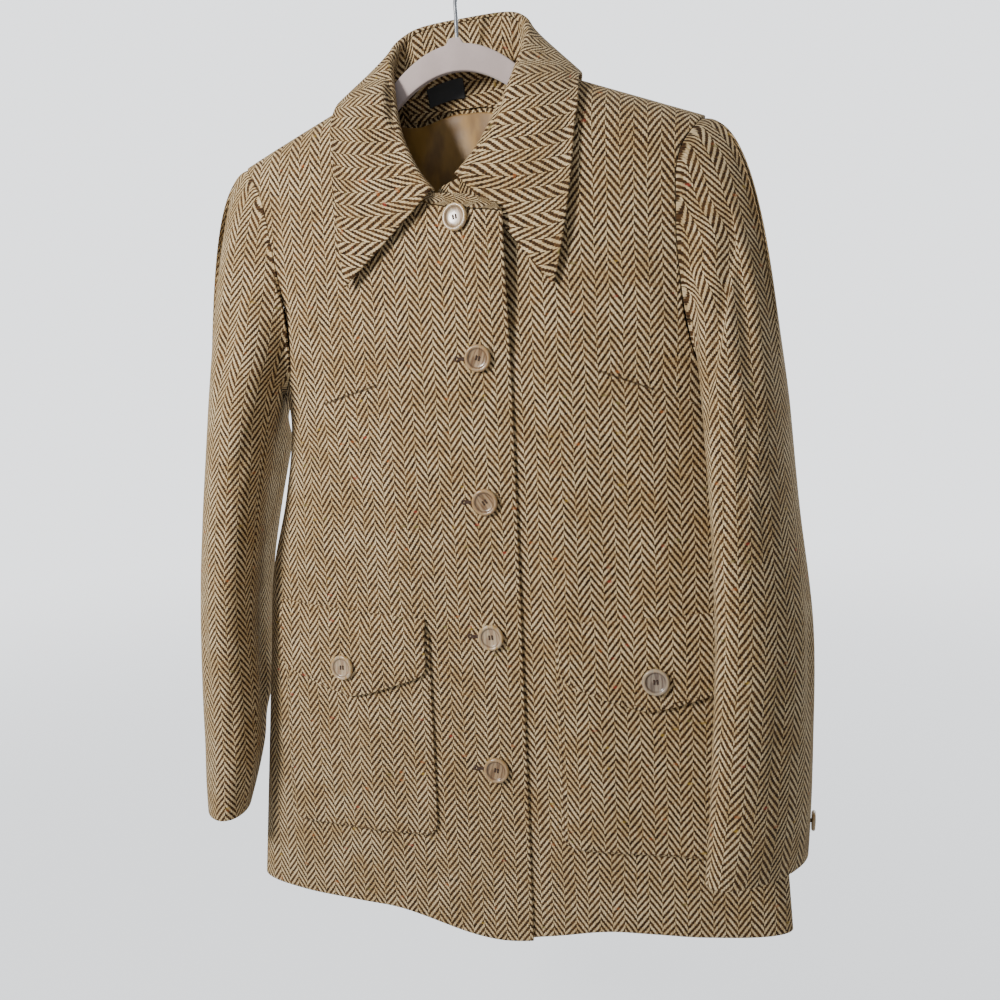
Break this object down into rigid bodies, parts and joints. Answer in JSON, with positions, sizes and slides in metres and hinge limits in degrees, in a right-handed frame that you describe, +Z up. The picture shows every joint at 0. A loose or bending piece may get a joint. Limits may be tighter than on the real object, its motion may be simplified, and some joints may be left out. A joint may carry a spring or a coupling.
{
  "type": "wool coat on a hanger",
  "caption": "Herringbone tweed coat with a pointed collar, buttoned front, patch pockets with flaps and long set-in sleeves, hanging on a slim hanger.",
  "frame": {"origin": "inside top of the hanger's hook, where a rod carries it", "axes": "+Z up, the fronts face -Y, +X to the wearer's left"},
  "size_m": [0.6128, 0.154, 0.9145],
  "materials": {
    "tweed": "brushed wool herringbone in cream and dark brown with warm flecks",
    "satin": "golden brown satin lining with a soft sheen",
    "label": "plain black satin ribbon, bare",
    "horn": "polished horn-look resin with a streaked grain",
    "flock": "flocked, pinkish grey-beige",
    "steel": "polished wire"
  },
  "bodies": {
    "root": {"front_right": "tweed", "front_left": "tweed", "back": "tweed", "back_facing": "tweed", "sleeve_top_right": "tweed", "sleeve_under_right": "tweed", "sleeve_top_left": "tweed", "sleeve_under_left": "tweed", "neckband": "tweed", "collar": "tweed", "pocket_right": "tweed", "pocket_left": "tweed", "flap_right": "tweed", "flap_left": "tweed", "back_lining": "satin", "label": "label", "button_1": "horn", "button_2": "horn", "button_3": "horn", "button_4": "horn", "button_5": "horn", "flap_button_right": "horn", "flap_button_left": "horn", "cuff_button_right": "horn", "cuff_button_left": "horn", "hanger": "flock", "hook": "steel"}
  },
  "joints": []
}
